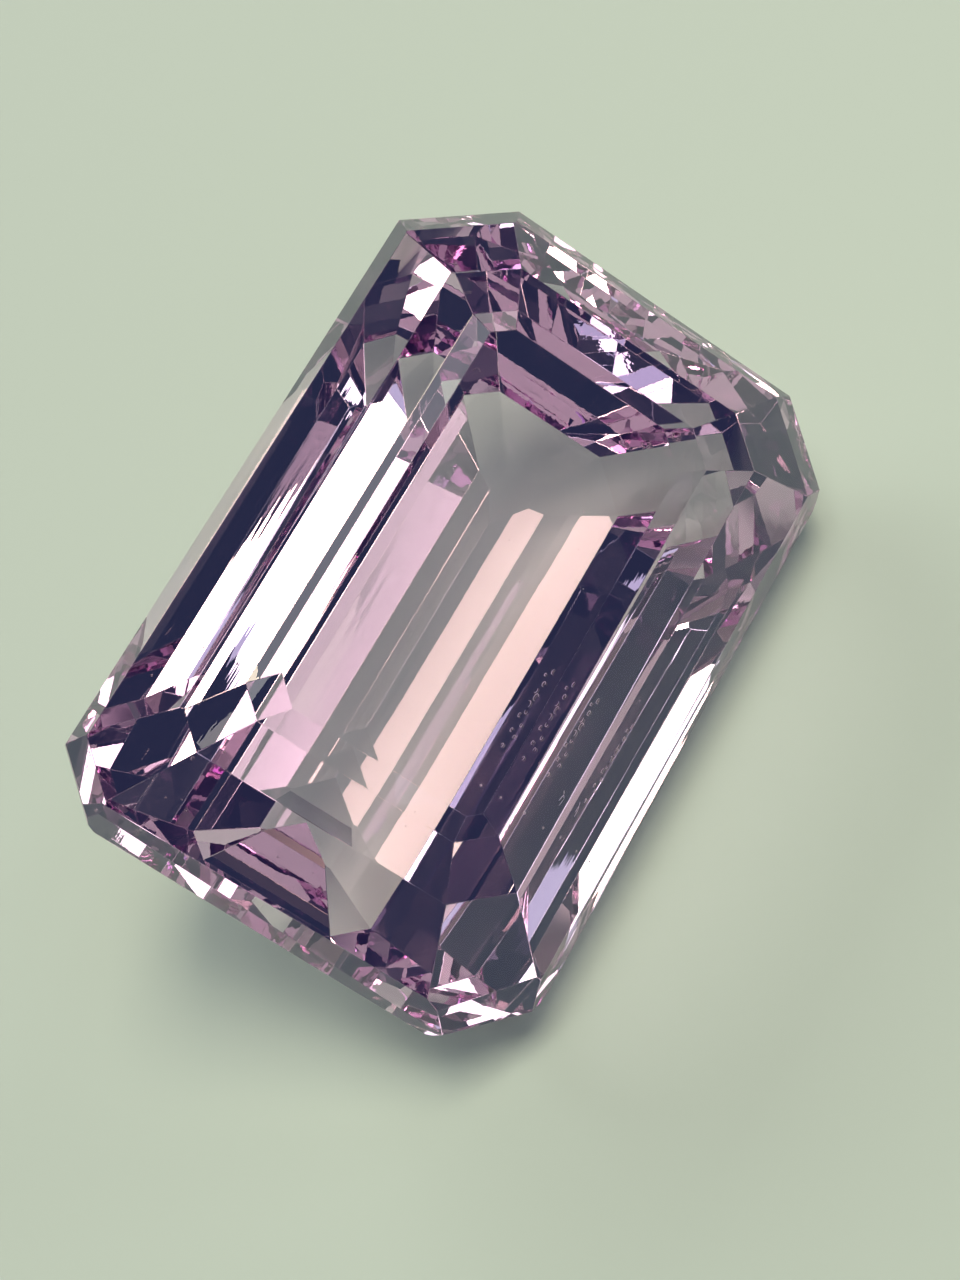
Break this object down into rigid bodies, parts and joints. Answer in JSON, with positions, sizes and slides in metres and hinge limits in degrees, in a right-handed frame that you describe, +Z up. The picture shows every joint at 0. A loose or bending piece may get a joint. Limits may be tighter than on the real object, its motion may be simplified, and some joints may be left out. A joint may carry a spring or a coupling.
{
  "type": "faceted kunzite gemstone",
  "caption": "Loose lilac-pink kunzite cut as a long octagonal step cut with stepped corners, a small off-centre table and a deep stepped pavilion ending in a keel.",
  "frame": {"origin": "bottom centre of the stone's box, on the surface it rests on", "axes": "+Z up, +Y along the stone's length; the table faces up and towards +X"},
  "size_m": [0.0176, 0.0292, 0.018],
  "materials": {
    "kunzite": "polished clear lilac-pink crystal"
  },
  "bodies": {
    "root": {"kunzite_stone": "kunzite"}
  },
  "joints": []
}
